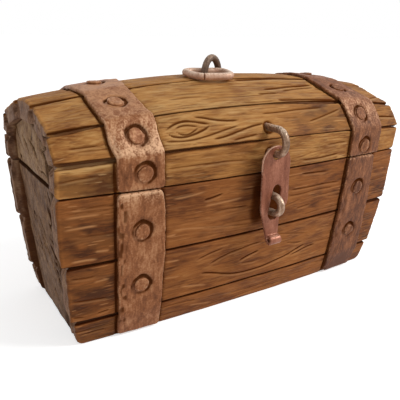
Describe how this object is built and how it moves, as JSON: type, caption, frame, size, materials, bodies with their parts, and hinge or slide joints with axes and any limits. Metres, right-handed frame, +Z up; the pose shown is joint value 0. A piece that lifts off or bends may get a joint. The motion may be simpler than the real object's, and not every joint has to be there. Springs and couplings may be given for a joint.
{
  "type": "treasure chest",
  "caption": "Small wooden treasure chest with a hinged barrel lid, riveted copper straps, a swinging hasp over a staple and a wire carrying ring on top.",
  "frame": {"origin": "middle of the flat underside", "axes": "+X along the length to the right seen from the front, -Y the front with the hasp, +Z up through the lid"},
  "size_m": [0.2015, 0.1125, 0.1254],
  "materials": {
    "body_wood": "carved boards stained red-brown, worn lighter along the edges, satin",
    "lid_wood": "carved boards stained golden brown with one large knot and dark grooves, satin",
    "end_wood": "coarse grey-brown carved end boards, matt",
    "copper": "hammered old copper, mottled pink-brown, lighter worn edges, semi-gloss",
    "bronze_wire": "antique bronze wire, semi-gloss"
  },
  "bodies": {
    "chest_body": {"floor_board": "body_wood", "end_board_left": "end_wood", "end_board_right": "end_wood", "front_plank_bottom": "body_wood", "front_plank_middle": "body_wood", "front_plank_top": "body_wood", "back_plank_bottom": "body_wood", "back_plank_middle": "body_wood", "back_plank_top": "body_wood", "front_strap_left": "copper", "front_strap_right": "copper", "back_strap_left": "copper", "back_strap_right": "copper", "hinge_pin_left": "bronze_wire", "hinge_pin_right": "bronze_wire", "lock_staple": "bronze_wire", "front_rivet_left_upper": "copper", "front_rivet_left_lower": "copper", "front_rivet_right_upper": "copper", "front_rivet_right_lower": "copper", "back_rivet_left_upper": "copper", "back_rivet_left_lower": "copper", "back_rivet_right_upper": "copper", "back_rivet_right_lower": "copper"},
    "lid": {"lid_stave_front_low": "lid_wood", "lid_stave_front_middle": "lid_wood", "lid_stave_front_high": "lid_wood", "lid_stave_back_low": "lid_wood", "lid_stave_back_middle": "lid_wood", "lid_stave_back_high": "lid_wood", "lid_stave_crown": "lid_wood", "lid_end_left": "end_wood", "lid_end_right": "end_wood", "lid_strap_left": "copper", "lid_strap_right": "copper", "ring_staple": "bronze_wire", "hasp_staple": "bronze_wire", "lid_rivet_left_1": "copper", "lid_rivet_left_2": "copper", "lid_rivet_left_3": "copper", "lid_rivet_left_4": "copper", "lid_rivet_left_5": "copper", "lid_rivet_left_6": "copper", "lid_rivet_left_7": "copper", "lid_rivet_right_1": "copper", "lid_rivet_right_2": "copper", "lid_rivet_right_3": "copper", "lid_rivet_right_4": "copper", "lid_rivet_right_5": "copper", "lid_rivet_right_6": "copper", "lid_rivet_right_7": "copper"},
    "hasp": {"hasp": "copper"},
    "ring": {"ring": "bronze_wire"}
  },
  "joints": [
    {"name": "lid_hinge", "type": "hinge", "parent": "chest_body", "child": "lid", "pos_m": [0, 0.04911, 0.0729], "axis": [-1, 0, 0], "range_deg": [0, 105]},
    {"name": "hasp_swing", "type": "hinge", "parent": "lid", "child": "hasp", "pos_m": [0, -0.0531, 0.0883], "axis": [-1, 0, 0], "range_deg": [0, 160]},
    {"name": "ring_lift", "type": "hinge", "parent": "lid", "child": "ring", "pos_m": [-0.0055, -0.0047, 0.11697], "axis": [-0.9613, 0.2756, 0], "range_deg": [0, 100]}
  ]
}
